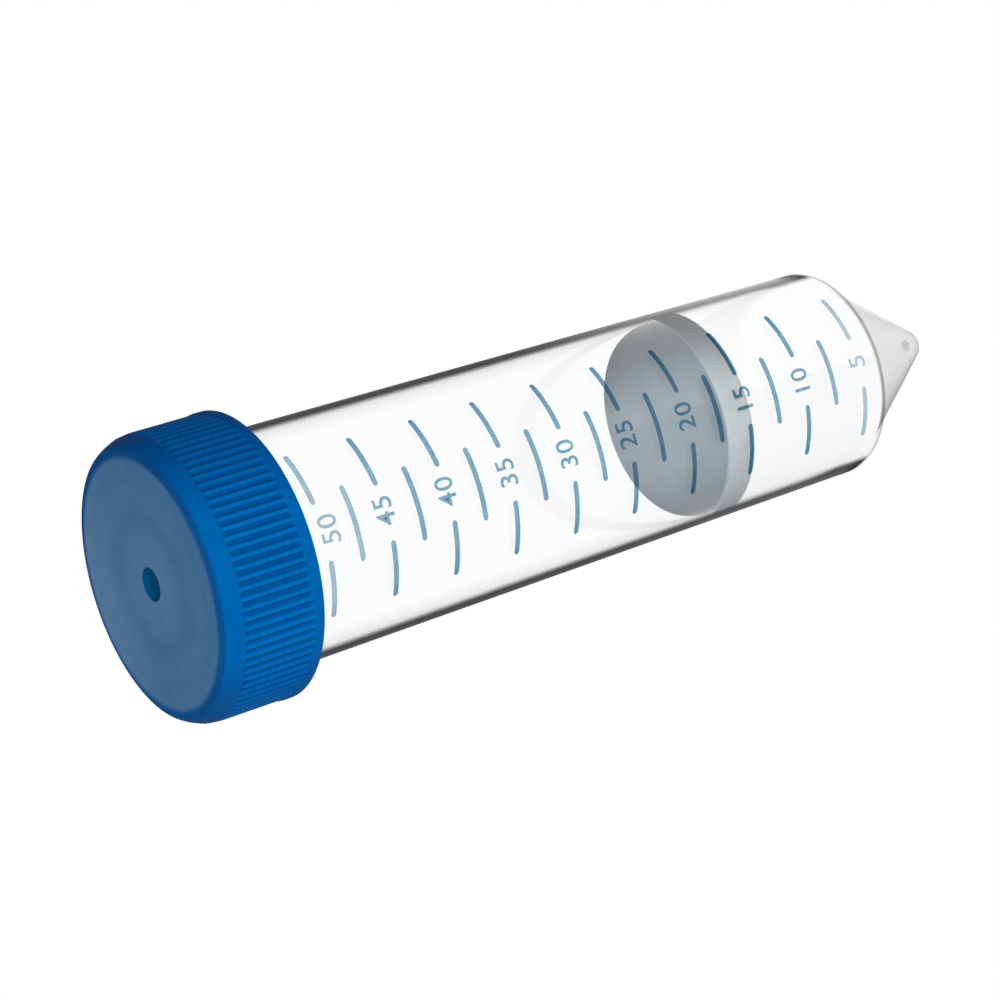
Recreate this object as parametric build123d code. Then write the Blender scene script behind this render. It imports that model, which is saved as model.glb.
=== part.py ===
from build123d import *
import math
import os

# A 50 ml conical centrifuge tube with a ribbed screw cap and a porous barrier pressed into its bore.
# It stands head down on the flat face of its cap. Millimetres and degrees.
# The origin is the centre of the cap's flat face, and +Z runs along the tube to the tip of its cone.

# Tube, one clear moulding
overall_length = 119.9           # cap face to the tip of the cone
mouth_radius = 14.70             # outside of the wall at the mouth
shoulder_radius = 13.72          # outside of the wall at the far end of its slight taper
shoulder_step = 1.1              # the cone's base stands in from the wall by this
shoulder_rounding = 0.7
wall = 1.0                       # straight wall and cone, square to the surface
tip_wall = 1.4                   # at the very end of the cone
tip_rounding = 2.48
cone_half_angle = 32.9           # between the cone's side and the axis
mouth_rounding = 0.25

# Thread on the tube's neck, and the shallower one in the cap that it passes
thread_pitch = 3.5
thread_below_mouth = 2.9         # mouth to the middle of the first turn
thread_edge_margin = 1.5         # cap's open edge to the middle of its last turn
thread_height = 1.0              # crest above the neck at the mouth
cap_thread_height = 0.4
thread_foot_width = 1.5
thread_crest_width = 0.7
thread_sink = 0.3                # foot buried in the wall that carries it
thread_clearance = 0.2           # crest to crest, so the tube also lifts straight out

# Screw cap, one blue moulding
cap_height = 12.6
top_thickness = 1.8
cap_wall = 0.85                  # skirt, between its bore and the foot of the ribs
rim_height = 2.0                 # the rim leans outwards from the face up to here
rim_proud = 0.37                 # its crest stands out from the skirt by this
rim_lean = 0.95                  # its side runs in towards the face by this
rim_blend = 0.45                 # height of the slope behind the crest
rim_rounding = 0.5               # between the flat face and the rim's side
inner_rounding = 0.5
band_height = 1.1                # plain band round the open edge
band_proud = 0.6                 # the band stands out from the skirt by this
band_blend = 0.5                 # height of the slope between skirt and band
band_rounding = 0.2
edge_rounding = 0.2
rib_count = 92
rib_height = 0.5
rib_foot_share = 0.7             # width at the foot, as a share of the spacing
rib_crest_share = 0.35
rib_overlap = 0.2                # the ribs start this far ahead of the rim's crest
gate_radius = 2.1                # shallow dimple in the middle of the face
gate_depth = 0.6
gate_slope = 0.5                 # the dimple's side runs in by this
plug_height = 3.0                # ring that seals inside the tube's mouth
plug_thickness = 1.0
plug_clearance = 0.15
mouth_seat_gap = 0.1             # tube's mouth to the cap's inner face

# Porous barrier, a sintered disc
barrier_thickness = 4.1
barrier_to_shoulder = 22.4       # disc's far side to the tube's shoulder, just past the 15 ml mark
barrier_clearance = 0.02
barrier_rounding = 0.2
ledge_depth = 0.2                # step in the bore that stops the disc

# Worked out from the sizes above
lean = math.radians(cone_half_angle)
mouth_height = top_thickness + mouth_seat_gap
cone_base_radius = shoulder_radius - shoulder_step
tip_centre = overall_length - tip_rounding
shoulder_height = tip_centre - (cone_base_radius - tip_rounding / math.cos(lean)) / math.tan(lean)
taper = (mouth_radius - shoulder_radius) / (shoulder_height - mouth_height)
cap_bore = mouth_radius + thread_height + thread_clearance + cap_thread_height
skirt_radius = cap_bore + cap_wall
rim_radius = skirt_radius + rim_proud
band_radius = skirt_radius + band_proud
band_foot = cap_height - band_height
barrier_foot = shoulder_height - barrier_to_shoulder


def wall_radius(height):
    return mouth_radius - taper * (height - mouth_height)


def bore_radius(height):
    return wall_radius(height) - wall


def lower_bore_radius(height):
    return bore_radius(height) - ledge_depth


def cone_radius(height):
    return cone_base_radius - (height - shoulder_height) * math.tan(lean)


def tip_arc(end, rounding):
    """Arc from the side of a cone to the axis at the height end."""
    centre = (0, end - rounding)
    return CenterArc(centre, rounding, math.degrees(lean), 90 - math.degrees(lean))


def turned(edges, *rounded):
    """Solid turned about Z from an outline of (radius, height); rounded holds (radius, height, rounding)."""
    outline = make_face(edges)
    for radius, height, rounding in rounded:
        corner = outline.vertices().sort_by_distance((radius, height, 0))[0]
        outline = fillet(corner, rounding)
    return revolve(Plane.XZ * outline, Axis.Z)


def thread(foot_radius, outward, height, start, turns):
    """Helical ridge on a wall: outward is 1 on the neck and -1 in the cap's bore."""
    path = Helix(thread_pitch, thread_pitch * turns, foot_radius)
    half_foot = thread_foot_width / 2
    half_crest = thread_crest_width / 2
    section = Polyline(
        (-thread_sink * outward, -half_foot),
        (height * outward, -half_crest),
        (height * outward, half_crest),
        (-thread_sink * outward, half_foot),
        close=True,
    )
    across = Plane(origin=path @ 0, x_dir=(1, 0, 0), z_dir=(0, -1, 0))
    ridge = sweep(across * make_face(section), path, is_frenet=True)
    return Pos(0, 0, start) * ridge


neck_thread_start = mouth_height + thread_below_mouth
cap_thread_start = neck_thread_start + thread_pitch / 2
turns = (cap_height - thread_edge_margin - cap_thread_start) / thread_pitch


def make_tube():
    inner_end = overall_length - tip_wall
    inner_rounding = (cone_radius(inner_end) * math.cos(lean) - wall) / (1 - math.sin(lean))
    inner_base = cone_radius(shoulder_height) - wall / math.cos(lean)
    short_by = inner_base - lower_bore_radius(shoulder_height)
    bend = shoulder_height + short_by / (math.tan(lean) - taper)
    ledge_height = barrier_foot + barrier_clearance
    outer_tip = tip_arc(overall_length, tip_rounding)
    inner_tip = tip_arc(inner_end, inner_rounding)
    mouth_lip = min(mouth_rounding, wall / 3)
    outer_side = Polyline(
        (bore_radius(mouth_height), mouth_height),
        (mouth_radius, mouth_height),
        (shoulder_radius, shoulder_height),
        (cone_base_radius, shoulder_height),
        outer_tip @ 0,
    )
    inner_side = Polyline(
        inner_tip @ 0,
        (lower_bore_radius(bend), bend),
        (lower_bore_radius(ledge_height), ledge_height),
        (bore_radius(ledge_height), ledge_height),
        (bore_radius(mouth_height), mouth_height),
    )
    axis_run = Line((0, overall_length), (0, inner_end))
    body = turned(
        [outer_side, outer_tip, axis_run, inner_tip, inner_side],
        (bore_radius(mouth_height), mouth_height, mouth_lip),
        (mouth_radius, mouth_height, mouth_lip),
        (shoulder_radius, shoulder_height, shoulder_rounding),
        (lower_bore_radius(bend), bend, shoulder_rounding),
    )
    return body + thread(mouth_radius, 1, thread_height, neck_thread_start, turns)


def make_ribs():
    spacing = 2 * math.pi * skirt_radius / rib_count
    half_foot = spacing * rib_foot_share / 2
    half_crest = spacing * rib_crest_share / 2
    foot = rim_height - rib_overlap
    section = Polyline(
        (skirt_radius - rib_height, -half_foot),
        (skirt_radius + rib_height, -half_crest),
        (skirt_radius + rib_height, half_crest),
        (skirt_radius - rib_height, half_foot),
        close=True,
    )
    rib = extrude(Pos(0, 0, foot) * make_face(section), amount=band_foot - foot)
    return [Rot(0, 0, 360 * i / rib_count) * rib for i in range(rib_count)]


def make_cap():
    plug_end = top_thickness + plug_height
    plug_radius = bore_radius(plug_end) - plug_clearance
    plug_bore = plug_radius - plug_thickness
    plug_lip = plug_thickness / 3
    outline = Polyline(
        (0, gate_depth),
        (gate_radius - gate_slope, gate_depth),
        (gate_radius, 0),
        (rim_radius - rim_lean, 0),
        (rim_radius, rim_height),
        (skirt_radius, rim_height + rim_blend),
        (skirt_radius, band_foot - band_blend),
        (band_radius, band_foot),
        (band_radius, cap_height),
        (cap_bore, cap_height),
        (cap_bore, top_thickness),
        (plug_radius, top_thickness),
        (plug_radius, plug_end),
        (plug_bore, plug_end),
        (plug_bore, top_thickness),
        (0, top_thickness),
        close=True,
    )
    body = turned(
        outline,
        (rim_radius - rim_lean, 0, rim_rounding),
        (band_radius, cap_height, band_rounding),
        (cap_bore, cap_height, edge_rounding),
        (cap_bore, top_thickness, inner_rounding),
        (plug_radius, plug_end, plug_lip),
        (plug_bore, plug_end, plug_lip),
    )
    inner_thread = thread(cap_bore, -1, cap_thread_height, cap_thread_start, turns)
    return body + inner_thread + make_ribs()


def make_barrier():
    face = barrier_foot - barrier_thickness
    face_radius = bore_radius(face) - barrier_clearance
    foot_radius = bore_radius(barrier_foot) - barrier_clearance
    outline = Polyline(
        (0, face),
        (face_radius, face),
        (foot_radius, barrier_foot),
        (0, barrier_foot),
        close=True,
    )
    return turned(
        outline,
        (face_radius, face, barrier_rounding),
        (foot_radius, barrier_foot, barrier_rounding),
    )


pieces = {
    "tube": make_tube(),
    "screw_cap": make_cap(),
    "porous_barrier": make_barrier(),
}
os.makedirs("parts", exist_ok=True)
for name, piece in pieces.items():
    export_step(piece, f"parts/{name}.step")
    print(name, "solids", len(piece.solids()), "volume", round(piece.volume, 1))
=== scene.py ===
import math

import bmesh
import bpy
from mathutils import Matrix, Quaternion, Vector


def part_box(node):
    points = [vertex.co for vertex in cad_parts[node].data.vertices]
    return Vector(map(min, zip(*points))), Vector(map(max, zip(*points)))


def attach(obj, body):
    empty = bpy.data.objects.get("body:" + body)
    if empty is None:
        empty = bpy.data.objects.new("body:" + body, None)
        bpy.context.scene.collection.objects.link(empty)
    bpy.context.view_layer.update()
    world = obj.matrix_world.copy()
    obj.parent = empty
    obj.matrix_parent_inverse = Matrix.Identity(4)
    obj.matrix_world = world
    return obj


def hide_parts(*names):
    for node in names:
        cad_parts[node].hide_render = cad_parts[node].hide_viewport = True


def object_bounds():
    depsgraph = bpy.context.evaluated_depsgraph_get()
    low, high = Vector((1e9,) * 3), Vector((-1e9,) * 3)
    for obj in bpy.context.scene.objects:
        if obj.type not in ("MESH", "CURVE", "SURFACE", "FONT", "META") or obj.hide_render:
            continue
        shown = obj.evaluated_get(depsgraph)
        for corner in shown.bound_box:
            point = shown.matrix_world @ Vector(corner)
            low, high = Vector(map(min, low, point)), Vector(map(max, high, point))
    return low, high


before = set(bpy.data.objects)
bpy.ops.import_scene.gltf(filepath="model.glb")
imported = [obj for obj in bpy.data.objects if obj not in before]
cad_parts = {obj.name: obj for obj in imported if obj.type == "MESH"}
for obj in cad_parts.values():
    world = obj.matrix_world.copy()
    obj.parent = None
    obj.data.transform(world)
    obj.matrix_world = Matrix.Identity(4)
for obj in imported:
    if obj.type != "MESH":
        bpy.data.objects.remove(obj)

# A 50 ml conical tube standing head down on its ribbed blue cap: clear tube, porous disc in its bore,
# printed scale. Every piece is built in metres on the loaded frame, from sizes written in millimetres.
mm = 0.001
millilitre = 1000 * mm ** 3
cadLow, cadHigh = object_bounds()
tubeLow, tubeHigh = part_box("tube")
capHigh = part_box("screw_cap")[1]
discLow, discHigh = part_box("porous_barrier")
print("frame loaded:", ", ".join(sorted(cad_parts)))


def plug(tree, value, socket):
    if isinstance(value, Flow):
        value = value.socket
    if isinstance(value, bpy.types.NodeSocket):
        tree.links.new(value, socket)
    else:
        socket.default_value = value


class Flow:
    # one number running through a node tree, so that a formula reads as one
    def __init__(self, tree, socket):
        self.tree, self.socket = tree, socket

    def math(self, operation, *others):
        node = addNode(self.tree, "ShaderNodeMath", dict(enumerate((self, *others))), operation=operation)
        return Flow(self.tree, node.outputs[0])

    def __add__(self, other):
        return self.math("ADD", other)

    def __sub__(self, other):
        return self.math("SUBTRACT", other)

    def __mul__(self, other):
        return self.math("MULTIPLY", other)

    def __truediv__(self, other):
        return self.math("DIVIDE", other)

    def flip(self):  # 1 minus the value
        return self * -1.0 + 1.0

    def smooth(self, low, high):  # 0 below low, 1 above high, soft between
        node = addNode(self.tree, "ShaderNodeMapRange", {"Value": self, "From Min": low, "From Max": high},
                       interpolation_type="SMOOTHSTEP")
        return Flow(self.tree, node.outputs["Result"])

    def rise(self, start, band):  # the same over a band that is measured from start
        return self.smooth(start + band[0], start + band[1])


def plugAll(tree, node, sockets):
    for name, value in sockets.items():
        plug(tree, value, node.inputs[name])


def addNode(tree, kind, sockets=None, **settings):
    node = tree.nodes.new(kind)
    for name, value in settings.items():
        setattr(node, name, value)
    plugAll(tree, node, sockets or {})
    return node


def splitVector(tree, socket):
    node = addNode(tree, "ShaderNodeSeparateXYZ", {"Vector": socket})
    return [Flow(tree, out) for out in node.outputs]


def joinVector(tree, x, y, z):
    return addNode(tree, "ShaderNodeCombineXYZ", {"X": x, "Y": y, "Z": z}).outputs[0]


def fromAxis(x, y):
    return (x * x + y * y).math("SQRT")


def roundCorners(corners, step=math.radians(11), hold=0.04 * mm):
    # corners are (radius, height, rounding); each rounding becomes an arc, and a row is held near
    # both ends of each straight run so that the long walls shade true
    runs = [[Vector(corners[0][:2])]]
    for before, here, after in zip(corners, corners[1:], corners[2:]):
        corner = Vector(here[:2])
        inward = (Vector(before[:2]) - corner).normalized()
        outward = (Vector(after[:2]) - corner).normalized()
        half = inward.angle(outward) / 2
        reach = here[2] / math.tan(half)
        centre = corner + (inward + outward).normalized() * (here[2] / math.sin(half))
        spread = math.pi - 2 * half
        first = corner + inward * reach - centre
        turn = 1 if inward.x * outward.y - inward.y * outward.x < 0 else -1
        steps = max(2, math.ceil(spread / step))
        arc = []
        for i in range(steps + 1):
            angle = turn * spread * i / steps
            c, s = math.cos(angle), math.sin(angle)
            arc.append(centre + Vector((first.x * c - first.y * s, first.x * s + first.y * c)))
        runs.append(arc)
    runs.append([Vector(corners[-1][:2])])
    outline = []
    for run, following in zip(runs, runs[1:] + [None]):
        outline += run
        if following is None:
            break
        gap = following[0] - run[-1]
        if gap.length > 4 * hold:
            outline += [run[-1] + gap.normalized() * hold, following[0] - gap.normalized() * hold]
    return [outline[0]] + [b for a, b in zip(outline, outline[1:]) if (b - a).length > 0.001 * mm]


def addRows(outline, heights, nearRadius, tolerance):
    # more rows at these heights, on the wall that runs within tolerance of nearRadius
    filled = [outline[0]]
    for start, end in zip(outline, outline[1:]):
        onWall = abs(start.x - nearRadius) < tolerance and abs(end.x - nearRadius) < tolerance
        if onWall:
            low, high = sorted((start.y, end.y))
            between = [h for h in heights if low + 0.01 * mm < h < high - 0.01 * mm]
            for height in sorted(between, reverse=end.y < start.y):
                filled.append(start.lerp(end, (height - start.y) / (end.y - start.y)))
        filled.append(end)
    return filled


def evenSteps(low, high, step):
    count = max(1, round((high - low) / step))
    return [low + (high - low) * i / count for i in range(count + 1)]


def evenAngles(count):
    return [2 * math.pi * i / count for i in range(count)]


def meshFrom(shell, name):
    mesh = bpy.data.meshes.new(name)
    shell.to_mesh(mesh)
    shell.free()
    return mesh


def latheMesh(name, outline, angles):
    # a closed shell turned about Z, from an outline that starts and ends on the axis
    shell = bmesh.new()
    rings = []
    for point in outline:
        if point.x < 0.001 * mm:
            rings.append([shell.verts.new((0, 0, point.y))])
        else:
            rings.append([shell.verts.new((point.x * math.cos(a), point.x * math.sin(a), point.y))
                          for a in angles])
    for near, far in zip(rings, rings[1:]):
        for i in range(len(angles)):
            j = (i + 1) % len(angles)
            if len(near) == 1:
                shell.faces.new((near[0], far[j], far[i]))
            elif len(far) == 1:
                shell.faces.new((near[i], near[j], far[0]))
            else:
                shell.faces.new((near[i], near[j], far[j], far[i]))
    bmesh.ops.recalc_face_normals(shell, faces=shell.faces)
    mesh = meshFrom(shell, name)
    mesh.shade_smooth()
    return mesh


def newTree(name, inputs):
    tree = bpy.data.node_groups.new(name, "GeometryNodeTree")
    tree.interface.new_socket("Geometry", in_out="INPUT", socket_type="NodeSocketGeometry")
    for label, kind in inputs.items():
        tree.interface.new_socket(label, in_out="INPUT", socket_type="NodeSocket" + kind)
    tree.interface.new_socket("Material", in_out="INPUT", socket_type="NodeSocketMaterial")
    tree.interface.new_socket("Geometry", in_out="OUTPUT", socket_type="NodeSocketGeometry")
    given = tree.nodes.new("NodeGroupInput")
    return tree, given, {label: Flow(tree, given.outputs[label]) for label in inputs}


def endTree(tree, given, geometry):
    real = addNode(tree, "GeometryNodeRealizeInstances", {"Geometry": geometry})
    painted = addNode(tree, "GeometryNodeSetMaterial",
                      {"Geometry": real.outputs[0], "Material": given.outputs["Material"]})
    result = tree.nodes.new("NodeGroupOutput")
    tree.links.new(painted.outputs[0], result.inputs[0])
    return tree


def pointIn(tree):
    return splitVector(tree, tree.nodes.new("GeometryNodeInputPosition").outputs[0])


def pushFromAxis(tree, given, x, y, push):
    # ends a tree that moves each point outwards by push, a share of its radius
    moved = addNode(tree, "GeometryNodeSetPosition", {
        "Geometry": given.outputs["Geometry"], "Offset": joinVector(tree, x * push, y * push, 0.0)})
    return endTree(tree, given, moved.outputs[0])


def growTree(piece, tree, values):
    # run a tree on a piece and keep the result as a plain mesh
    modifier = piece.modifiers.new(tree.name, "NODES")
    modifier.node_group = tree
    for item in tree.interface.items_tree:
        if item.in_out == "INPUT" and item.name in values:
            modifier[item.identifier] = values[item.name]
    evaluated = piece.evaluated_get(bpy.context.evaluated_depsgraph_get())
    plain = bpy.data.meshes.new_from_object(evaluated)
    piece.modifiers.remove(modifier)
    piece.data = plain


def addPiece(name, data):
    piece = bpy.data.objects.new(name, data)
    bpy.context.scene.collection.objects.link(piece)
    return piece


def cleanShell(piece, distance):
    # merge doubles and turn every face outwards
    shell = bmesh.new()
    shell.from_mesh(piece.data)
    bmesh.ops.remove_doubles(shell, verts=shell.verts, dist=distance)
    bmesh.ops.recalc_face_normals(shell, faces=shell.faces)
    shell.to_mesh(piece.data)
    shell.free()


def newMaterial(name):
    material = bpy.data.materials.new(name)
    material.use_nodes = True
    tree = material.node_tree
    surface = tree.nodes["Principled BSDF"]
    place = tree.nodes.new("ShaderNodeTexCoord").outputs["Object"]
    return material, tree, surface, place


def noise(tree, place, size, detail=2.0, stretch=(1, 1, 1)):
    # soft random pattern, 0 to 1, whose lumps are about size across
    scaled = addNode(tree, "ShaderNodeMapping", {"Vector": place, "Scale": stretch})
    node = addNode(tree, "ShaderNodeTexNoise",
                   {"Vector": scaled.outputs[0], "Scale": 1 / size, "Detail": detail})
    return Flow(tree, node.outputs["Fac"])


def mixColours(tree, amount, first, second, blend="MIX"):
    return addNode(tree, "ShaderNodeMix", {0: amount, 6: first, 7: second},
                   data_type="RGBA", blend_type=blend).outputs[2]


def mixShaders(tree, share, first, second):
    return addNode(tree, "ShaderNodeMixShader", {0: share, 1: first, 2: second}).outputs[0]


def transparent(tree, sockets=None):
    return addNode(tree, "ShaderNodeBsdfTransparent", sockets).outputs[0]


def addBump(tree, surface, height, depth, strength=1.0):
    bump = addNode(tree, "ShaderNodeBump", {"Height": height, "Distance": depth, "Strength": strength})
    tree.links.new(bump.outputs[0], surface.inputs["Normal"])
    return bump.outputs[0]


def slantOf(tree):
    # 0 where the surface is seen square on, 1 along it
    return Flow(tree, addNode(tree, "ShaderNodeLayerWeight", {"Blend": 0.5}).outputs["Facing"])


def fromBehind(tree):
    return Flow(tree, tree.nodes.new("ShaderNodeNewGeometry").outputs["Backfacing"])


def useShader(tree, shader):
    tree.links.new(shader, tree.nodes["Material Output"].inputs["Surface"])


cameraView = {
    "aim": (3.06 * mm, -0.04 * mm, 48.93 * mm),
    "azimuth": 0.742,  # degrees, towards +X from +Y
    "elevation": 31.737,  # looks up at the cap's face
    "roll": 72.159,  # the tube lies across the picture
    "distance": 387.34 * mm,
    "lens": 112.03,
    "sensor": 36.0,
}


def addCamera(settings):
    azimuth, elevation = math.radians(settings["azimuth"]), math.radians(settings["elevation"])
    forward = Vector((math.sin(azimuth) * math.cos(elevation),
                      math.cos(azimuth) * math.cos(elevation), math.sin(elevation)))
    camera = addPiece("camera", bpy.data.cameras.new("camera"))
    camera.data.lens = settings["lens"]
    camera.data.sensor_width = settings["sensor"]
    camera.data.clip_start, camera.data.clip_end = 0.01, 20
    camera.location = Vector(settings["aim"]) - forward * settings["distance"]
    camera.rotation_mode = "QUATERNION"
    turned = Quaternion((0, 0, 1), math.radians(settings["roll"]))
    camera.rotation_quaternion = forward.to_track_quat("-Z", "Y") @ turned
    bpy.context.scene.camera = camera


addCamera(cameraView)
print("camera ready")


threadShape = {
    "pitch": 3.5 * mm,
    "belowMouth": 2.9 * mm,  # mouth to the middle of the neck's first turn
    "edgeMargin": 1.5 * mm,  # cap's open edge to the end of its last turn
    "halfFoot": 0.68 * mm,
    "halfCrest": 0.33 * mm,
    "neckHeight": 1.0 * mm,
    "capHeight": 0.4 * mm,
    "clearance": 0.2 * mm,
    "endFade": 0.05,  # turns over which each end rises
    "rowStep": 0.14 * mm,
    "rowMargin": 0.9 * mm,  # the finer rows go this far past both ends
}


def threadTree():
    tree, given, size = newTree("threadRidge", {
        "Pitch": "Float", "Start": "Float", "Turns": "Float", "Half Foot": "Float",
        "Half Crest": "Float", "Crest Radius": "Float", "Wall Radius": "Float",
        "Wall Reach": "Float", "End Fade": "Float"})
    x, y, z = pointIn(tree)
    radius = fromAxis(x, y)
    share = (y.math("ARCTAN2", x) / (2 * math.pi)).math("FRACT")
    wound = (z - size["Start"]) / size["Pitch"] - share  # turns wound up to this height, here
    nearest = wound.math("ROUND")
    along = nearest + share
    aside = ((wound - nearest) * size["Pitch"]).math("ABSOLUTE")
    flank = aside.smooth(size["Half Crest"], size["Half Foot"]).flip()
    rise = along.smooth(0.0, size["End Fade"])
    fall = (size["Turns"] - along).smooth(0.0, size["End Fade"])
    onWall = (radius - size["Wall Radius"]).math("ABSOLUTE").math("LESS_THAN", size["Wall Reach"])
    push = (size["Crest Radius"] - radius) * flank * rise * fall * onWall / radius
    return pushFromAxis(tree, given, x, y, push)


windThread = threadTree()


tubeShape = {
    "mouthRadius": 14.70 * mm,
    "shoulderRadius": 13.72 * mm,
    "shoulderStep": 1.1 * mm,  # the cone starts this far inside the wall
    "shoulderRounding": 0.7 * mm,
    "wall": 1.0 * mm,
    "tipWall": 1.4 * mm,
    "tipRounding": 2.48 * mm,
    "coneHalfAngle": 32.9,
    "mouthRounding": 0.25 * mm,
    "fineRounding": 0.08 * mm,  # the sharp corners of the moulding
    "ledgeDepth": 0.2 * mm,  # step in the bore that stops the disc
    "ledgeGap": 0.02 * mm,
    "rowReach": 1.05 * mm,  # the rows for the thread cross both skins of the neck
    "threadReach": 0.15 * mm,  # and the thread moves only the outer one
    "segments": 256,
}
mouthHeight = tubeLow.z
tipHeight = tubeHigh.z
coneLean = math.radians(tubeShape["coneHalfAngle"])
coneBaseRadius = tubeShape["shoulderRadius"] - tubeShape["shoulderStep"]
shoulderHeight = (tipHeight - tubeShape["tipRounding"]
                  - (coneBaseRadius - tubeShape["tipRounding"] / math.cos(coneLean)) / math.tan(coneLean))
wallTaper = (tubeShape["mouthRadius"] - tubeShape["shoulderRadius"]) / (shoulderHeight - mouthHeight)
capBore = (tubeShape["mouthRadius"] + threadShape["neckHeight"] + threadShape["clearance"]
           + threadShape["capHeight"])
neckThreadStart = mouthHeight + threadShape["belowMouth"]
capThreadStart = neckThreadStart + threadShape["pitch"] / 2
threadTurns = (capHigh.z - threadShape["edgeMargin"] - capThreadStart) / threadShape["pitch"]


def wallRadius(height):
    return tubeShape["mouthRadius"] - wallTaper * (height - mouthHeight)


def boreRadius(height):
    return wallRadius(height) - tubeShape["wall"]


def coneRadius(height):
    return coneBaseRadius - (height - shoulderHeight) * math.tan(coneLean)


def tubeOutline():
    shape = tubeShape
    fine = shape["fineRounding"]
    slope = math.tan(coneLean)
    innerEnd = tipHeight - shape["tipWall"]
    innerRadius = coneRadius(innerEnd) - shape["wall"] / math.cos(coneLean)
    innerRounding = innerRadius * math.cos(coneLean) / (1 - math.sin(coneLean))
    lowerBore = boreRadius(shoulderHeight) - shape["ledgeDepth"]
    innerBase = coneRadius(shoulderHeight) - shape["wall"] / math.cos(coneLean)
    bend = shoulderHeight + (innerBase - lowerBore) / (slope - wallTaper)
    ledge = discHigh.z + shape["ledgeGap"]
    return roundCorners([
        (0, tipHeight, 0),
        (coneRadius(tipHeight), tipHeight, shape["tipRounding"]),
        (coneBaseRadius, shoulderHeight, fine),
        (shape["shoulderRadius"], shoulderHeight, shape["shoulderRounding"]),
        (shape["mouthRadius"], mouthHeight, shape["mouthRounding"]),
        (boreRadius(mouthHeight), mouthHeight, shape["mouthRounding"]),
        (boreRadius(ledge), ledge, fine),
        (boreRadius(ledge) - shape["ledgeDepth"], ledge, fine),
        (boreRadius(bend) - shape["ledgeDepth"], bend, shape["shoulderRounding"]),
        (innerRadius, innerEnd, innerRounding),
        (0, innerEnd, 0),
    ])


def threadRows(start, step):
    margin = threadShape["rowMargin"]
    return evenSteps(start - margin, start + threadTurns * threadShape["pitch"] + margin, step)


def threadValues(start, crestRadius, wall, reach, material):
    return {
        "Pitch": threadShape["pitch"], "Start": start, "Turns": threadTurns,
        "Half Foot": threadShape["halfFoot"], "Half Crest": threadShape["halfCrest"],
        "Crest Radius": crestRadius, "Wall Radius": wall, "Wall Reach": reach,
        "End Fade": threadShape["endFade"], "Material": material}


clearLook = {
    "clear": (0.992, 0.995, 0.996, 1),  # what one skin lets through
    "edge": (0.085, 0.095, 0.115, 1),  # painted dark edge, where the wall is seen at a slant
    "edgeEnd": (0.02, 0.023, 0.03, 1),  # painted edge, darker still near the shoulder
    "edgeSlant": (0.67, 0.77),
    "endBand": (-10 * mm, -5 * mm),  # before the shoulder, where the edge turns to its end's colour
    "endShift": -0.03,  # and starts at a little less slant
    "bendBand": (-0.5 * mm, 0.1 * mm),  # where the wall turns into the shoulder
    # painted greys: the shoulder's ring and the cone, which don't bend light, are tinted in place of the
    # shade they would show
    "shoulder": (0.52, 0.525, 0.535, 1),
    "shoulderBand": (0.2 * mm, 0.5 * mm),  # outside the foot of the cone
    "cone": (0.90, 0.90, 0.905, 1),
    "coneBand": (0.05 * mm, 0.3 * mm),  # above the shoulder
    "coneShade": (0.52, 0.525, 0.53, 1),  # painted shade towards the +X side
    "coneSide": (0.25, 1.0),  # share of the radius that x has there
    "axisGuard": 0.2 * mm,
    "tipBand": (-3.5 * mm, -1.2 * mm),  # below the tip, painted shade as well where seen at a slant
    "tipSlant": (0.5, 0.9),
    "tipShare": 0.6,
    "tipSpot": (0.72, 0.725, 0.74, 1),  # the end of the bore, seen as a small dot
    "spotBand": (-0.24 * mm, -0.12 * mm),
    "thinFrom": 1.6 * mm,  # this far before the shoulder no light is bent any more
    "thinBlend": 3.0 * mm,
    "boreAhead": 1.2 * mm,  # the bore's skin changes this much sooner
    "leavingSlant": (0.19, 0.245),  # light too slanted to leave the wall is let straight through
    "lampTint": (0.95, 0.955, 0.96, 1),  # what lamps lose through one skin
    "lampEdge": (0.25, 0.26, 0.27, 1),
    "lampSlant": (0.15, 0.75),
    "roughness": 0.0,
    "refraction": 1.49,
    "mirror": 0.04,  # share mirrored by a skin seen square on
    "thinRoughness": 0.05,
    "dullEdge": 0.7,  # the dark edges mirror this much less
    "flowSize": 9 * mm,  # slow waves left by the moulding
    "flowStretch": (1, 1, 0.3),
    "flowDepth": 0.0004 * mm,
}


def clearTint(tree, look, slant, entering, skin, place):
    # paints the wall's dark edge, the shoulder's grey ring and the cone's shade into the tint, as painted
    # shade; also gives how far each point is on the shoulder's rounding and on the wall's dark edge
    x, y, z = splitVector(tree, place)
    radius = fromAxis(x, y)
    bend = shoulderHeight - tubeShape["shoulderRounding"]
    pastBend = z.rise(bend, look["bendBand"])
    onCone = z.rise(shoulderHeight, look["coneBand"])
    onRounding = pastBend * onCone.flip() * radius.rise(coneBaseRadius, look["shoulderBand"])
    nearEnd = z.rise(bend, look["endBand"])
    edgeShift = nearEnd * look["endShift"]
    # painted dark edge where the wall is seen at a slant
    wallEdge = slant.rise(edgeShift, look["edgeSlant"]) * pastBend.flip()
    edge = mixColours(tree, nearEnd, look["edge"], look["edgeEnd"])
    tint = mixColours(tree, wallEdge * entering, look["clear"], edge)
    tint = mixColours(tree, onRounding * entering, tint, look["shoulder"])
    # painted shade on the cone towards +X, and near the tip where seen at a slant
    shaded = (x / (radius + look["axisGuard"])).smooth(*look["coneSide"])
    onTip = z.rise(tipHeight, look["tipBand"]) * slant.smooth(*look["tipSlant"]) * look["tipShare"]
    cone = mixColours(tree, shaded.math("MAXIMUM", onTip), look["cone"], look["coneShade"])
    tint = mixColours(tree, onCone * entering, tint, cone)
    spot = skin.flip() * z.rise(tipHeight - tubeShape["tipWall"], look["spotBand"])
    return mixColours(tree, spot, tint, look["tipSpot"]), onRounding, wallEdge


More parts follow.
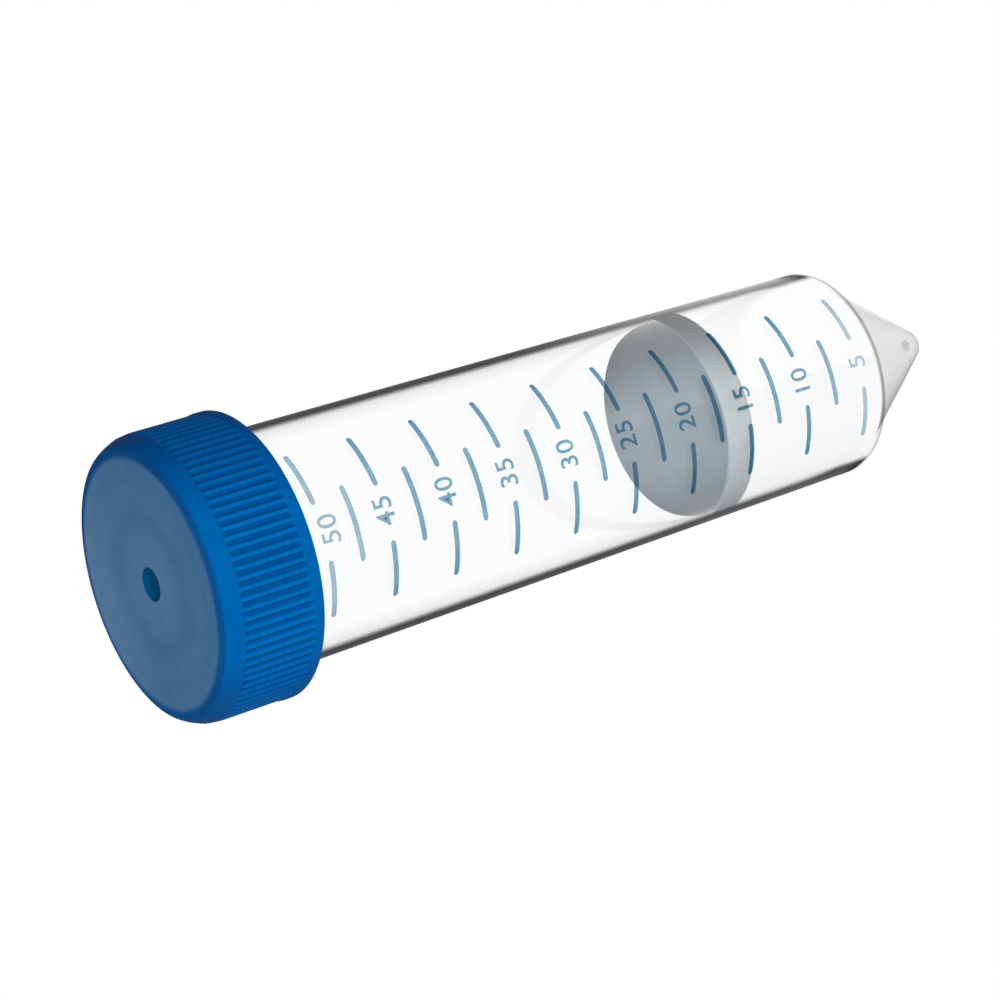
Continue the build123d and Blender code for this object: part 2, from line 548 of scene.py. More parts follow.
def clearPlastic(look):
    material, tree, surface, place = newMaterial("clearPlastic")
    plugAll(tree, surface, {"Roughness": look["roughness"], "IOR": look["refraction"],
                            "Transmission Weight": 1.0})
    slant = slantOf(tree)
    inside = fromBehind(tree)
    skin = Flow(tree, addNode(tree, "ShaderNodeAttribute", attribute_name="outerSkin").outputs["Fac"])
    entering = skin * inside.flip()
    tint, onRounding, wallEdge = clearTint(tree, look, slant, entering, skin, place)
    tree.links.new(mixColours(tree, 1.0, tint, tint, "MULTIPLY"), surface.inputs["Base Color"])
    flow = noise(tree, place, look["flowSize"], detail=1.0, stretch=look["flowStretch"])
    normal = addBump(tree, surface, flow, look["flowDepth"])
    # the shoulder and the cone would trap light between their skins, so they don't bend it
    seen = transparent(tree, {"Color": tint})
    gloss = addNode(tree, "ShaderNodeBsdfAnisotropic", {
        "Roughness": look["thinRoughness"], "Normal": normal}).outputs[0]
    fresnel = slant.math("POWER", 5.0) * (1 - look["mirror"]) + look["mirror"]
    dull = (onRounding * look["dullEdge"]).flip() * (wallEdge * look["dullEdge"]).flip()
    share = fresnel * entering * dull
    thin = mixShaders(tree, share, seen, gloss)
    seam = shoulderHeight - look["thinFrom"]
    height = splitVector(tree, place)[2]
    zone = (height + skin.flip() * look["boreAhead"]).smooth(seam - look["thinBlend"], seam)
    # light leaves the outer skin without a mirror image, which would show the disc twice
    leaving = addNode(tree, "ShaderNodeBsdfRefraction", {
        "Color": look["clear"], "Roughness": look["roughness"], "IOR": look["refraction"],
        "Normal": normal}).outputs[0]
    outward = mixShaders(tree, slant.smooth(*look["leavingSlant"]), leaving, seen)
    wall = mixShaders(tree, skin * inside, surface.outputs[0], outward)
    body = mixShaders(tree, zone, wall, thin)
    # lamps shine through, so what is inside is lit
    path = tree.nodes.new("ShaderNodeLightPath")
    passing = Flow(tree, path.outputs["Is Shadow Ray"]).math("MAXIMUM", path.outputs["Is Diffuse Ray"])
    dimmed = mixColours(tree, slant.smooth(*look["lampSlant"]), look["lampTint"], look["lampEdge"])
    useShader(tree, mixShaders(tree, passing, body, transparent(tree, {"Color": dimmed})))
    return material


def makeTube():
    clear = clearPlastic(clearLook)
    rows = threadRows(neckThreadStart, threadShape["rowStep"])
    outline = addRows(tubeOutline(), rows, tubeShape["mouthRadius"], tubeShape["rowReach"])
    angles = evenAngles(tubeShape["segments"])
    mesh = latheMesh("tubeBody", outline, angles)
    mouth = min(range(len(outline)), key=lambda i: outline[i].y)
    outerCount = 1 + mouth * len(angles)  # the tip and the rings outside the mouth
    skin = mesh.attributes.new("outerSkin", "FLOAT", "POINT")
    skin.data.foreach_set("value", [float(i < outerCount) for i in range(len(mesh.vertices))])
    piece = addPiece("tubeBody", mesh)
    crest = tubeShape["mouthRadius"] + threadShape["neckHeight"]
    growTree(piece, windThread, threadValues(neckThreadStart, crest, tubeShape["mouthRadius"],
                                             tubeShape["threadReach"], clear))
    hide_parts("tube")
    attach(piece, "tube_body")
    return piece


tubeBody = makeTube()
print("tube turned:", len(tubeBody.data.polygons), "faces")


capShape = {
    "topThickness": 1.8 * mm,
    "skirtWall": 0.85 * mm,
    "rimHeight": 2.0 * mm,  # the rim leans outwards from the face up to here
    "rimProud": 0.37 * mm,
    "rimLean": 0.95 * mm,
    "rimBlend": 0.7 * mm,
    "rimRounding": 0.5 * mm,
    "rimBelly": (0.40 * mm, 0.95 * mm, 1.5 * mm),  # inside the crest, above the face, rounding
    "crestRounding": 0.35 * mm,
    "innerRounding": 0.5 * mm,
    "bandHeight": 1.1 * mm,
    "bandProud": 0.6 * mm,
    "bandBlend": 0.5 * mm,
    "bandRounding": 0.2 * mm,
    "edgeRounding": 0.2 * mm,
    "ribCount": 92,
    "ribHeight": 0.5 * mm,
    "ribFootShare": 0.92,  # of the spacing from rib to rib
    "ribCrestShare": 0.12,
    "ribOverlap": 0.2 * mm,  # the ribs start this far ahead of the rim's crest
    "ribFade": 1.3 * mm,  # each rib reaches its full height over this
    "ribLow": 0.7,  # share of the height that it starts with
    "gateRadius": 2.1 * mm,
    "gateDepth": 0.6 * mm,
    "gateSlope": 0.5 * mm,
    "plugHeight": 3.0 * mm,
    "plugThickness": 1.0 * mm,
    "plugClearance": 0.15 * mm,
    "fineRounding": 0.12 * mm,
    "cornerStep": 22,  # degrees; coarser than the tube, as the ribs need many columns
    "flankShares": (0.15, 0.45, 0.75, 1),  # columns on each flank of a rib, from crest to foot
    "ribRowStep": 0.16 * mm,
    "bandRowStep": 0.09 * mm,
    "threadCoarser": 3,  # the thread's rows against the tube's
    "skirtReach": 0.6 * mm,
    "boreReach": 0.05 * mm,
}
skirtRadius = capBore + capShape["skirtWall"]
bandFoot = capHigh.z - capShape["bandHeight"]
ribStart = capShape["rimHeight"] - capShape["ribOverlap"]


def capOutline():
    shape = capShape
    fine = shape["fineRounding"]
    rimRadius = skirtRadius + shape["rimProud"]
    bandRadius = skirtRadius + shape["bandProud"]
    plugEnd = shape["topThickness"] + shape["plugHeight"]
    plugRadius = boreRadius(plugEnd) - shape["plugClearance"]
    plugBore = plugRadius - shape["plugThickness"]
    plugLip = shape["plugThickness"] / 3
    return roundCorners([
        (0, shape["gateDepth"], 0),
        (shape["gateRadius"] - shape["gateSlope"], shape["gateDepth"], fine),
        (shape["gateRadius"], 0, fine),
        (rimRadius - shape["rimLean"], 0, shape["rimRounding"]),
        (rimRadius - shape["rimBelly"][0], *shape["rimBelly"][1:]),
        (rimRadius, shape["rimHeight"], shape["crestRounding"]),
        (skirtRadius, shape["rimHeight"] + shape["rimBlend"], 3 * fine),
        (skirtRadius, bandFoot - shape["bandBlend"], fine),
        (bandRadius, bandFoot, 2 * fine),
        (bandRadius, capHigh.z, shape["bandRounding"]),
        (capBore, capHigh.z, shape["edgeRounding"]),
        (capBore, shape["topThickness"], shape["innerRounding"]),
        (plugRadius, shape["topThickness"], fine),
        (plugRadius, plugEnd, plugLip),
        (plugBore, plugEnd, plugLip),
        (plugBore, shape["topThickness"], fine),
        (0, shape["topThickness"], 0),
    ], step=math.radians(shape["cornerStep"]))


def ribTree():
    tree, given, size = newTree("gripRibs", {
        "Count": "Float", "Height": "Float", "Half Foot": "Float", "Half Crest": "Float",
        "Skirt Radius": "Float", "Start": "Float", "End": "Float", "Fade": "Float", "Low": "Float"})
    x, y, z = pointIn(tree)
    radius = fromAxis(x, y)
    spacing = y.math("ARCTAN2", x) / (2 * math.pi) * size["Count"]
    aside = ((spacing + 0.5).math("FRACT") - 0.5).math("ABSOLUTE")  # in spacings, from a rib's middle
    flank = aside.smooth(size["Half Crest"], size["Half Foot"]).flip()
    risen = (z - size["Start"]).smooth(0.0, size["Fade"]) * size["Low"].flip() + size["Low"]
    ends = (risen * (z - size["Start"]).math("GREATER_THAN", 0.0)
            * (size["End"] - z).math("GREATER_THAN", 0.0))
    crest = size["Skirt Radius"] + size["Height"] * flank * ends
    outside = radius.math("GREATER_THAN", size["Skirt Radius"] - 0.02 * mm)
    push = (crest - radius).math("MAXIMUM", 0.0) * outside / radius
    return pushFromAxis(tree, given, x, y, push)


capLook = {
    "blue": (0.0, 0.145, 0.48, 1),
    "blueDeep": (0.0, 0.125, 0.43, 1),
    "driftSize": 6 * mm,  # slow drift from the one to the other
    "grooveShadeBlue": (0.0, 0.100, 0.350, 1),  # painted shade between the ribs
    # the ribs' crests painted lighter, as lit
    "ridgeLitBlue": (0.0, 0.175, 0.54, 1),
    "ridgeBand": (0.08 * mm, 0.42 * mm),
    "ridgeShare": 0.8,
    "ribBand": (0, 0.7 * mm),  # fades in from the ribs' start
    "bandBand": (-0.5 * mm, 0),  # and out before the plain band
    "paintedShadeBlue": (0, 0.035, 0.20, 1),
    "shade": 0.50,  # painted shade, deeper towards the -X side, as far as this share
    "shadeBand": (3 * mm, 16 * mm),
    "lowShade": 0.30,  # and painted shade towards the +X side
    "lowShadeBand": (10 * mm, 17 * mm),
    "faceSheenBlue": (0.072, 0.222, 0.455, 1),  # the flat face, left matt by the mould, with painted sheen: its grey stands in for the reflection of pale surroundings
    "faceSheenLight": (0.208, 0.362, 0.580, 1),
    "satinRadius": 15.3 * mm,
    "sheenShift": 0.5 * mm,  # the matt patch and its painted sheen sit a little towards +Y
    "satinEdge": (-0.5 * mm, 0.5 * mm),
    "satinDepth": (0.5 * mm, 0.8 * mm),
    # the gate's dimple, painted darker as shade in the recess
    "gateShadeBlue": (0.0, 0.085, 0.22, 1),
    "gateEdge": (-0.1 * mm, 0.1 * mm),
    "gatePale": 0.28,  # paler round the gate
    "gatePaleBand": (2 * mm, 8 * mm),
    "farSheen": 0.5,  # and painted sheen towards the +Y side
    "farSheenBand": (4 * mm, 16 * mm),
    "fineSize": 1.6 * mm,
    "broadSize": 9 * mm,
    "ringSpacing": 5.5 * mm,  # faint rings left by the filling
    "ringWander": 3 * mm,
    "mottleBand": (0.25, 0.75),
    "mottlePale": 0.22,
    "mottleRoughness": 0.12,
    "skirtRoughness": 0.34,
    "faceRoughness": 0.55,
    "refraction": 1.5,
    "shine": 0.05,
    "shineTint": (0.08, 0.5, 1.0, 1),
    "grainSize": 0.22 * mm,
    "grainDepth": 0.006 * mm,
    "skirtGrain": 0.15,  # share of the face's grain
}


def capPlastic(look):
    material, tree, surface, place = newMaterial("bluePlastic")
    x, y, z = splitVector(tree, place)
    radius = fromAxis(x, y)
    pastGate = radius.rise(capShape["gateRadius"], look["gateEdge"])
    inSatin = fromAxis(x, y - look["sheenShift"]).rise(look["satinRadius"], look["satinEdge"]).flip()
    onFace = inSatin * pastGate * z.smooth(*look["satinDepth"]).flip()
    drift = noise(tree, place, look["driftSize"])
    fine = noise(tree, place, look["fineSize"], detail=4.0)
    broad = noise(tree, place, look["broadSize"], detail=1.0)
    rings = ((radius + broad * look["ringWander"]) / look["ringSpacing"] * (2 * math.pi)).math("SINE")
    mottle = (fine * 0.5 + broad * 0.35 + rings * 0.06 + 0.08).smooth(*look["mottleBand"])
    # paler round the gate, and painted sheen towards +Y
    paler = (radius.smooth(*look["gatePaleBand"]).flip() * look["gatePale"]
             + y.smooth(*look["farSheenBand"]) * look["farSheen"])
    moulded = mixColours(tree, drift, look["blue"], look["blueDeep"])
    # painted light and shade on the ribs: crests lighter, grooves darker
    ridge = mixColours(tree, radius.rise(skirtRadius, look["ridgeBand"]),
                       look["grooveShadeBlue"], look["ridgeLitBlue"])
    onRibs = z.rise(ribStart, look["ribBand"]) * z.rise(bandFoot, look["bandBand"]).flip()
    moulded = mixColours(tree, onRibs * look["ridgeShare"], moulded, ridge)
    # painted shade towards the -X and the +X sides
    shade = ((x * -1.0).smooth(*look["shadeBand"]) * look["shade"]
             + x.smooth(*look["lowShadeBand"]) * look["lowShade"])
    moulded = mixColours(tree, shade, moulded, look["paintedShadeBlue"])
    # painted shade in the gate's dimple
    skirt = mixColours(tree, pastGate, look["gateShadeBlue"], moulded)
    # the face with its painted sheen
    face = mixColours(tree, mottle * look["mottlePale"] + paler, look["faceSheenBlue"], look["faceSheenLight"])
    tree.links.new(mixColours(tree, onFace, skirt, face), surface.inputs["Base Color"])
    rough = onFace * (look["faceRoughness"] - look["skirtRoughness"]) + look["skirtRoughness"]
    plug(tree, rough + (mottle - 0.5) * look["mottleRoughness"], surface.inputs["Roughness"])
    plugAll(tree, surface, {"IOR": look["refraction"], "Specular IOR Level": look["shine"],
                            "Specular Tint": look["shineTint"]})
    share = onFace * (1 - look["skirtGrain"]) + look["skirtGrain"]
    grain = noise(tree, place, look["grainSize"], detail=1.0) * share
    addBump(tree, surface, grain, look["grainDepth"])
    return material


def makeCap():
    shape = capShape
    blue = capPlastic(capLook)
    ribRows = (evenSteps(ribStart, ribStart + shape["ribFade"], shape["ribRowStep"])
               + evenSteps(bandFoot - shape["bandBlend"], bandFoot, shape["bandRowStep"]))
    boreRows = threadRows(capThreadStart, threadShape["rowStep"] * shape["threadCoarser"])
    outline = addRows(capOutline(), ribRows, skirtRadius + shape["bandProud"] / 2, shape["skirtReach"])
    outline = addRows(outline, boreRows, capBore, shape["boreReach"])
    foot, crest = shape["ribFootShare"] / 2, shape["ribCrestShare"] / 2
    flank = [crest + (foot - crest) * share for share in shape["flankShares"]]
    offsets = [-offset for offset in reversed(flank)] + flank
    spacing = 2 * math.pi / shape["ribCount"]
    angles = [spacing * (i + offset) for i in range(shape["ribCount"]) for offset in offsets]
    piece = addPiece("capMoulding", latheMesh("capMoulding", outline, angles))
    growTree(piece, ribTree(), {
        "Count": float(shape["ribCount"]), "Height": shape["ribHeight"], "Half Foot": foot,
        "Half Crest": crest, "Skirt Radius": skirtRadius, "Start": ribStart, "End": bandFoot,
        "Fade": shape["ribFade"], "Low": shape["ribLow"], "Material": blue})
    growTree(piece, windThread, threadValues(capThreadStart, capBore - threadShape["capHeight"], capBore,
                                             shape["boreReach"], blue))
    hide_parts("screw_cap")
    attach(piece, "cap")
    return piece


capMoulding = makeCap()
print("cap moulded:", len(capMoulding.data.polygons), "faces")


discShape = {
    "bite": 0.03 * mm,  # pressed this far into the bore's wall
    "rounding": 0.35 * mm,
    "segments": 192,
}

discLook = {
    "face": ((0.80, 0.925, 0.995, 1), (0.70, 0.815, 0.885, 1)),  # pale and grey; face and side are lit and shaded copies of one plastic, the faces painted paler
    "side": ((0.79, 0.855, 0.87, 1), (0.705, 0.77, 0.79, 1)),  # pressed against the bore, painted darker than the faces
    "shade": 0.40,  # painted shade, darker towards the -X side
    "shadeBand": (1 * mm, 10 * mm),
    "faceTilt": (0.4, 0.9),  # upright part of the normal, from side to face
    "grainSize": 0.18 * mm,
    "cloudSize": 3.5 * mm,
    "toneBand": (0.2, 0.75),
    "grainDepth": 0.03 * mm,
    "grainStrength": 0.5,
    "roughness": 0.85,
}


def sinteredPlastic(look):
    material, tree, surface, place = newMaterial("sinteredPlastic")
    cloud = noise(tree, place, look["cloudSize"], detail=3.0)
    cells = addNode(tree, "ShaderNodeTexVoronoi", {"Vector": place, "Scale": 1 / look["grainSize"]})
    beads = Flow(tree, cells.outputs["Distance"])
    tone = (cloud * 0.6 + beads * 0.35).smooth(*look["toneBand"])
    normal = splitVector(tree, tree.nodes.new("ShaderNodeNewGeometry").outputs["Normal"])
    onFace = normal[2].math("ABSOLUTE").smooth(*look["faceTilt"])
    # painted light: faces and side get different colours by the normal
    face = mixColours(tree, tone, *look["face"])
    side = mixColours(tree, tone, *look["side"])
    bare = mixColours(tree, onFace, side, face)
    # painted shade towards the -X side
    shade = (splitVector(tree, place)[0] * -1.0).smooth(*look["shadeBand"]) * look["shade"]
    tree.links.new(mixColours(tree, shade, bare, (0, 0, 0, 1)), surface.inputs["Base Color"])
    surface.inputs["Roughness"].default_value = look["roughness"]
    addBump(tree, surface, beads.flip(), look["grainDepth"], look["grainStrength"])
    return material


def makeDisc():
    lowRadius = boreRadius(discLow.z) + discShape["bite"]
    highRadius = boreRadius(discHigh.z) + discShape["bite"]
    rounding = discShape["rounding"]
    outline = roundCorners([
        (0, discHigh.z, 0),
        (highRadius, discHigh.z, rounding),
        (lowRadius, discLow.z, rounding),
        (0, discLow.z, 0),
    ])
    piece = addPiece("porousDisc", latheMesh("porousDisc", outline, evenAngles(discShape["segments"])))
    piece.data.materials.append(sinteredPlastic(discLook))
    piece.visible_glossy = False  # keeps its ghost out of the polished bore
    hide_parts("porous_barrier")
    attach(piece, "tube_body")
    return piece


porousDisc = makeDisc()
print("disc pressed in:", len(porousDisc.data.polygons), "faces")


scaleShape = {
    "firstVolume": 5.0,  # millilitres
    "volumeStep": 5.0,
    "longCount": 10,
    "shortCount": 9,
    "firstHeight": 98.59 * mm,  # where the first long mark stands
    "side": -90.0,  # degrees about Z where the scale is centred
    "leftMark": (-40.9, -12.5),  # degrees from the scale's middle
    "rightMark": (14.1, 42.9),
    "shortMark": (-17.6, 19.1),
    "stroke": 0.70 * mm,
    "inkThickness": 0.02 * mm,
    "inkLift": 0.01 * mm,  # clear of the wall
    "digitHeight": 2.55 * mm,
    "digitSpacing": 1.08,
    "digitWeight": 0.008,  # widens the strokes, as a share of the size
    "digitShift": -0.2 * mm,  # along the tube, towards the cap
    "lastDigitShift": 0.8 * mm,  # the last number stands clear of the cap
    "mergeDistance": 0.0005 * mm,
    "sliceStep": 0.35 * mm,  # a number is cut this fine to bend round
}


def heightOfVolume(volume):
    firstBore = boreRadius(scaleShape["firstHeight"])
    poured = (volume - scaleShape["firstVolume"]) * millilitre
    bore = (firstBore ** 3 + 3 * wallTaper * poured / math.pi) ** (1 / 3)
    return scaleShape["firstHeight"] - (bore - firstBore) / wallTaper


def markTree():
    tree, given, size = newTree("scaleMarks", {
        "Count": "Int", "First Volume": "Float", "Volume Step": "Float", "Start Angle": "Float",
        "End Angle": "Float", "Stroke": "Float", "Thickness": "Float", "Lift": "Float",
        "Anchor Volume": "Float", "Anchor Height": "Float", "Anchor Bore": "Float",
        "Taper": "Float", "Wall": "Float"})
    span = size["End Angle"] - size["Start Angle"]
    # one stroke, laid flat: x is the angle, y the height, z the depth of ink
    flat = addNode(tree, "GeometryNodeMeshCube", {
        "Size": joinVector(tree, 2.0, 1.0, size["Thickness"]),
        "Vertices X": 25, "Vertices Y": 3, "Vertices Z": 2})
    x, y, z = pointIn(tree)
    along = (x * (math.pi / 2)).math("SINE")  # rows crowd towards the rounded ends
    endShare = size["Stroke"] / 2 / (span / 2 * size["Anchor Bore"])
    past = ((along.math("ABSOLUTE") - endShare.flip()) / endShare).math("MAXIMUM", 0.0)
    width = (past * past * 0.94).flip().math("SQRT")
    shaped = addNode(tree, "GeometryNodeSetPosition", {
        "Geometry": flat.outputs[0],
        "Position": joinVector(tree, along * span / 2, y * width * size["Stroke"], z)})
    # one point for each mark, at the height that its volume fills
    points = addNode(tree, "GeometryNodeMeshLine", {"Count": size["Count"]})
    order = Flow(tree, tree.nodes.new("GeometryNodeInputIndex").outputs[0])
    volume = size["First Volume"] + size["Volume Step"] * order - size["Anchor Volume"]
    cube = (size["Anchor Bore"].math("POWER", 3.0)
            + volume * size["Taper"] * (3 * millilitre / math.pi))
    drop = (cube.math("POWER", 1 / 3) - size["Anchor Bore"]) / size["Taper"]
    height = size["Anchor Height"] - drop
    middle = (size["Start Angle"] + size["End Angle"]) / 2
    placed = addNode(tree, "GeometryNodeSetPosition", {
        "Geometry": points.outputs[0], "Position": joinVector(tree, middle, height, 0.0)})
    strokes = addNode(tree, "GeometryNodeInstanceOnPoints", {
        "Points": placed.outputs[0], "Instance": shaped.outputs[0]})
    real = addNode(tree, "GeometryNodeRealizeInstances", {"Geometry": strokes.outputs[0]})
    # bend the flat strokes round the tapered wall
    angle, level, depth = pointIn(tree)
    wall = size["Anchor Bore"] + size["Wall"] + (size["Anchor Height"] - level) * size["Taper"]
    radius = wall + size["Lift"] + size["Thickness"] / 2 + depth
    bent = addNode(tree, "GeometryNodeSetPosition", {
        "Geometry": real.outputs[0],
        "Position": joinVector(tree, angle.math("COSINE") * radius, angle.math("SINE") * radius, level)})
    return endTree(tree, given, bent.outputs[0])


inkLook = {
    "blue": (0.0, 0.055, 0.19, 1),
    "thin": (0.0, 0.08, 0.24, 1),  # where the ink lies thinner
    "film": (0.36, 0.61, 0.73, 1),  # light that comes through the ink
    "filmSlant": (0.14, 0.38, 0.53, 1),  # denser where it is seen at a slant
    "filmBand": (0.15, 0.5),
    "tipWear": 0.42,  # paler print at both ends of the scale
    "tipWearBand": (91 * mm, 98 * mm),
    "capWear": 0.25,
    "capWearBand": (19 * mm, 26 * mm),
    "cover": 0.33,
    "patchSize": 1.6 * mm,
    "patchBand": (0.35, 0.7),
    "patchCover": 0.1,  # cover that comes and goes with the patches
    "patchRoughness": 0.15,
    "roughness": 0.5,
}


def printInk(look):
    material, tree, surface, place = newMaterial("blueInk")
    patch = noise(tree, place, look["patchSize"], detail=3.0).smooth(*look["patchBand"])
    tree.links.new(mixColours(tree, patch, look["blue"], look["thin"]), surface.inputs["Base Color"])
    plug(tree, patch * look["patchRoughness"] + look["roughness"], surface.inputs["Roughness"])
    height = splitVector(tree, place)[2]
    worn = (height.smooth(*look["tipWearBand"]) * look["tipWear"]
            + height.smooth(*look["capWearBand"]).flip() * look["capWear"])
    tint = mixColours(tree, slantOf(tree).smooth(*look["filmBand"]), look["film"], look["filmSlant"])
    film = transparent(tree, {"Color": mixColours(tree, worn, tint, (1, 1, 1, 1))})
    cover = ((patch * -look["patchCover"] + look["patchCover"] / 2) + look["cover"]) * worn.flip()
    inked = mixShaders(tree, cover, film, surface.outputs[0])
    # the film counts once, where light enters it
    useShader(tree, mixShaders(tree, fromBehind(tree), inked, transparent(tree)))
    return material


def numberMesh(text):
    # a number as a thin closed slab, laid flat, centred, its height along y
    shape = scaleShape
    curve = bpy.data.curves.new("number", "FONT")
    curve.body = text
    curve.align_x, curve.align_y = "CENTER", "CENTER"
    curve.size = 1.0
    curve.space_character = shape["digitSpacing"]
    curve.offset = shape["digitWeight"]
    curve.extrude = 0.5
    curve.resolution_u = 6
    letter = addPiece("number", curve)
    evaluated = letter.evaluated_get(bpy.context.evaluated_depsgraph_get())
    mesh = bpy.data.meshes.new_from_object(evaluated)
    bpy.data.objects.remove(letter)
    slab = bmesh.new()
    slab.from_mesh(mesh)
    bpy.data.meshes.remove(mesh)
    bmesh.ops.remove_doubles(slab, verts=slab.verts, dist=1e-5)
    low = Vector(min(v.co[i] for v in slab.verts) for i in range(3))
    high = Vector(max(v.co[i] for v in slab.verts) for i in range(3))
    scale = shape["digitHeight"] / (high.y - low.y)
    centre = (low + high) / 2
    for vert in slab.verts:
        vert.co = ((vert.co.x - centre.x) * scale, (vert.co.y - centre.y) * scale,
                   vert.co.z * shape["inkThickness"])
    halfWidth = (high.x - low.x) / 2 * scale
    for cut in evenSteps(-halfWidth, halfWidth, shape["sliceStep"])[1:-1]:
        bmesh.ops.bisect_plane(slab, geom=slab.verts[:] + slab.edges[:] + slab.faces[:], dist=1e-8,
                               plane_co=(cut, 0, 0), plane_no=(1, 0, 0))
    return slab


def addNumbers(target):
    shape = scaleShape
    for i in range(shape["longCount"]):
        volume = shape["firstVolume"] + i * shape["volumeStep"]
        last = i == shape["longCount"] - 1
        level = heightOfVolume(volume) + shape["lastDigitShift" if last else "digitShift"]
        slab = numberMesh(str(round(volume)))
        for vert in slab.verts:  # read from +X to -X, tops towards the cap
            height = level - vert.co.y
            radius = wallRadius(height) + shape["inkLift"] + shape["inkThickness"] / 2 + vert.co.z
            angle = math.radians(shape["side"]) - vert.co.x / radius
            vert.co = (radius * math.cos(angle), radius * math.sin(angle), height)
        flat = meshFrom(slab, "number")
        target.from_mesh(flat)
        bpy.data.meshes.remove(flat)


def makeScale():
    shape = scaleShape
    ink = printInk(inkLook)
    tree = markTree()
    common = {
        "Volume Step": shape["volumeStep"], "Stroke": shape["stroke"], "Thickness": shape["inkThickness"],
        "Lift": shape["inkLift"], "Anchor Volume": shape["firstVolume"],
        "Anchor Height": shape["firstHeight"], "Anchor Bore": boreRadius(shape["firstHeight"]),
        "Taper": wallTaper, "Wall": tubeShape["wall"], "Material": ink}
    sets = (
        (shape["longCount"], shape["firstVolume"], shape["leftMark"]),
        (shape["longCount"], shape["firstVolume"], shape["rightMark"]),
        (shape["shortCount"], shape["firstVolume"] + shape["volumeStep"] / 2, shape["shortMark"]),
    )
    merged = bmesh.new()
    for count, first, reach in sets:
        marks = addPiece("marks", bpy.data.meshes.new("marks"))
        growTree(marks, tree, {**common, "Count": count, "First Volume": first,
                               "Start Angle": math.radians(shape["side"] + reach[0]),
                               "End Angle": math.radians(shape["side"] + reach[1])})
        merged.from_mesh(marks.data)
        bpy.data.objects.remove(marks)
    addNumbers(merged)
    mesh = meshFrom(merged, "scalePrint")
    mesh.materials.clear()
    mesh.materials.append(ink)
    mesh.polygons.foreach_set("material_index", [0] * len(mesh.polygons))
    piece = addPiece("scalePrint", mesh)
    cleanShell(piece, shape["mergeDistance"])
    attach(piece, "tube_body")
    return piece


scalePrint = makeScale()
print("scale printed:", len(scalePrint.data.polygons), "faces")


floorShape = {
    "drop": 0.05 * mm,
    "radius": 900 * mm,
    "fadeFrom": 180 * mm,
    "fadeTo": 800 * mm,
    "colour": (0.9, 0.9, 0.9, 1),
    "roughness": 0.9,
    "segments": 96,
}


def makeFloor(shape):
    disc = bmesh.new()
    bmesh.ops.create_circle(disc, cap_ends=True, radius=shape["radius"], segments=shape["segments"])
    mesh = meshFrom(disc, "floor")
    floor = addPiece("floor", mesh)
    floor.location.z = cadLow.z - shape["drop"]
    material, tree, surface, place = newMaterial("paleFloor")
    plugAll(tree, surface, {"Base Color": shape["colour"], "Roughness": shape["roughness"],
                            "Specular IOR Level": 0.0})
    away = fromAxis(*splitVector(tree, place)[:2]).smooth(shape["fadeFrom"], shape["fadeTo"])
    hidden = away.math("MAXIMUM", fromBehind(tree))  # seen only from above, and it fades far out
    useShader(tree, mixShaders(tree, hidden, surface.outputs[0], transparent(tree)))
    mesh.materials.append(material)
    floor.visible_diffuse = floor.visible_glossy = floor.visible_shadow = False


worldLight = {
    "fill": 0.26,  # what the surfaces gather from all round
    "fillLean": 0.9,  # more of it from the +X side
    "zenithBand": (0.86, 0.97),  # sine of the elevation where the tent ends
    "zenith": 0.75,
    "nadirBand": (0.5, 0.8),
    "nadir": 0.75,
    "leftBand": (0.0, 0.12),  # share of the way to -X
    "farBand": (0.1, 0.5),  # to +Y
    "overheadBand": (0.54, 0.61),  # and up
    "stripEnd": (0.72, 0.86),
    "raisedBand": (0.1, 0.4),
    "nearReflection": 0.8,  # what upright walls mirror
    "farReflection": 0.17,
    "lowReflection": 0.12,
    "leftReflection": 0.42,  # panels overhead
    "rightReflection": 0.25,
    "stripReflection": 0.6,
}


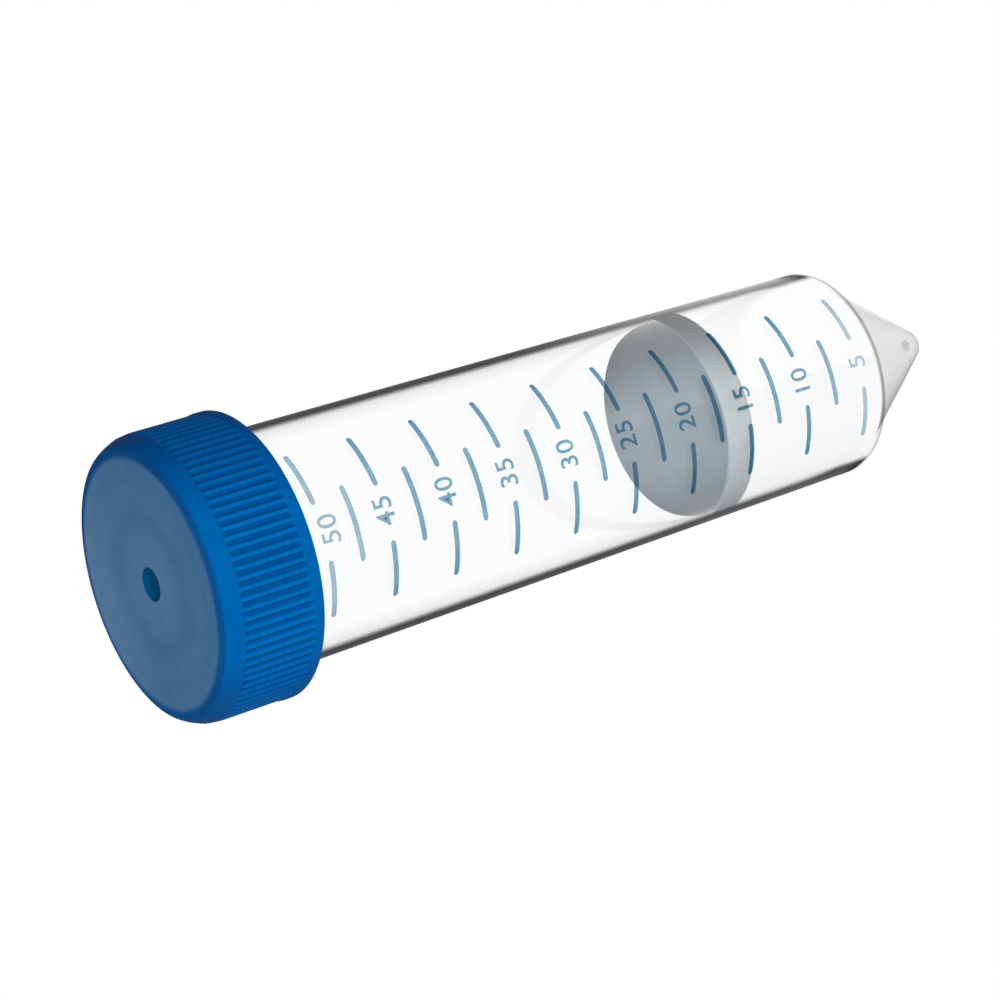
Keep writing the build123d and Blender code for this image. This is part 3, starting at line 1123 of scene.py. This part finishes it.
def makeWorld(light):
    world = bpy.data.worlds.new("studio")
    bpy.context.scene.world = world
    world.use_nodes = True
    tree = world.node_tree
    sky = tree.nodes["Background"]
    path = tree.nodes.new("ShaderNodeLightPath")
    x, y, z = splitVector(tree, tree.nodes.new("ShaderNodeTexCoord").outputs["Generated"])
    top = z.smooth(*light["zenithBand"])
    bottom = (z * -1.0).smooth(*light["nadirBand"])
    seenThrough = (top * (light["zenith"] - 1) + 1) * (bottom * (light["nadir"] - 1) + 1)
    left = (x * -1.0).smooth(*light["leftBand"])
    near = y.smooth(*light["farBand"]).flip()
    overhead = z.smooth(*light["overheadBand"])
    strip = z.smooth(*light["stripEnd"]).flip() * overhead * left
    level = near * (light["nearReflection"] - light["farReflection"]) + light["farReflection"]
    raised = z.smooth(*light["raisedBand"])
    low = raised * level + raised.flip() * light["lowReflection"]
    high = left * (light["leftReflection"] - light["rightReflection"]) + light["rightReflection"]
    reflected = overhead.flip() * low + overhead * high + strip * light["stripReflection"]
    isCamera = Flow(tree, path.outputs["Is Camera Ray"])
    isGlossy = Flow(tree, path.outputs["Is Glossy Ray"])
    isThrough = Flow(tree, path.outputs["Is Transmission Ray"])
    other = isThrough.math("MAXIMUM", isGlossy).math("MAXIMUM", isCamera).flip()
    plain = other * (x * light["fillLean"] + 1) * light["fill"]
    strength = (plain + seenThrough * isThrough + reflected * isGlossy * isThrough.flip()
                + isCamera * isThrough.flip() * isGlossy.flip())
    plug(tree, strength, sky.inputs["Strength"])
    sky.inputs["Color"].default_value = (1, 1, 1, 1)


studioLamps = (
    {"name": "keyLamp", "azimuth": -2, "elevation": -28, "distance": 0.9, "size": 0.45, "power": 5.7},
    {"name": "topLamp", "azimuth": 160, "elevation": 60, "distance": 1.0, "size": 0.7, "power": 8.4},
    {"name": "backLamp", "azimuth": 180, "elevation": -6, "distance": 1.0, "size": 0.6, "power": 2.0},
)


def addLamp(lamp):
    # azimuth 0 stands on the -Y side and grows towards +X
    azimuth, elevation = math.radians(lamp["azimuth"]), math.radians(lamp["elevation"])
    toward = Vector((math.sin(azimuth) * math.cos(elevation),
                     -math.cos(azimuth) * math.cos(elevation), math.sin(elevation)))
    data = bpy.data.lights.new(lamp["name"], "AREA")
    data.energy = lamp["power"]
    data.size = lamp["size"]
    lampObject = addPiece(lamp["name"], data)
    middle = (cadLow + cadHigh) / 2
    lampObject.location = middle + toward * lamp["distance"]
    lampObject.rotation_mode = "QUATERNION"
    lampObject.rotation_quaternion = (-toward).to_track_quat("-Z", "Y")
    lampObject.visible_camera = False
    lampObject.visible_transmission = False
    lampObject.visible_glossy = False  # no hard white bands in the clear wall


makeFloor(floorShape)
makeWorld(worldLight)
for lamp in studioLamps:
    addLamp(lamp)
bpy.context.scene.view_settings.view_transform = "Standard"
print("studio lit")
